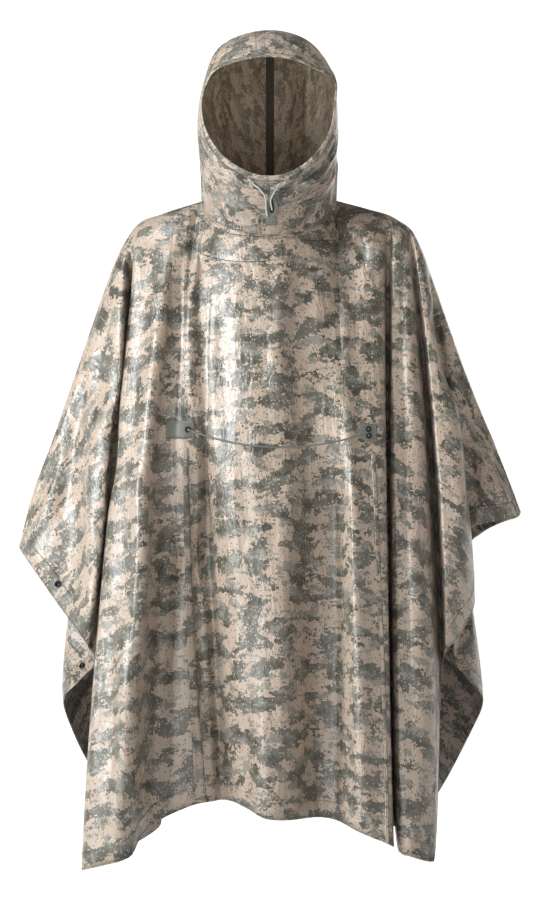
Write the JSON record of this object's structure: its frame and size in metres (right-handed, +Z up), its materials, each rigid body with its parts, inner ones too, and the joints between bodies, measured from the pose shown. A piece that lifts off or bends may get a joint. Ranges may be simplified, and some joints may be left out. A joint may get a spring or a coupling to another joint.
{
  "type": "hooded rain poncho",
  "caption": "Hooded rain poncho in coated pixel-camouflage cloth, held open in its worn form, with hood and waist drawcords.",
  "frame": {"origin": "centre of the neck at the height of the shoulder fold, where the wearer holds the poncho", "axes": "+Z up from hem to hood, -Y the front with the face opening, +X to the right of someone who looks at the front"},
  "size_m": [0.8289, 0.418, 1.3724],
  "materials": {
    "cloth": "satin",
    "inside_tape": "matte",
    "patch": "matte",
    "cord": "matte",
    "lock": "satin",
    "black_metal": "satin"
  },
  "bodies": {
    "root": {"front_body": "cloth", "back_body": "cloth", "hood_left": "cloth", "hood_right": "cloth", "hood_casing": "cloth", "front_seam_left": "cloth", "front_seam_right": "cloth", "hood_cord_tab": "cloth", "hood_seam_tape": "inside_tape", "waist_patch_left": "patch", "waist_patch_right": "patch", "hood_drawcord_left": "cord", "hood_drawcord_right": "cord", "waist_drawcord": "cord", "hood_cord_lock": "lock", "hood_eyelet_left": "black_metal", "hood_eyelet_right": "black_metal", "waist_grommet_left": "black_metal", "waist_grommet_right_upper": "black_metal", "waist_grommet_right_lower": "black_metal", "snap_front_left": "black_metal", "snap_back_left": "black_metal", "snap_front_right": "black_metal", "snap_back_right": "black_metal"}
  },
  "joints": []
}
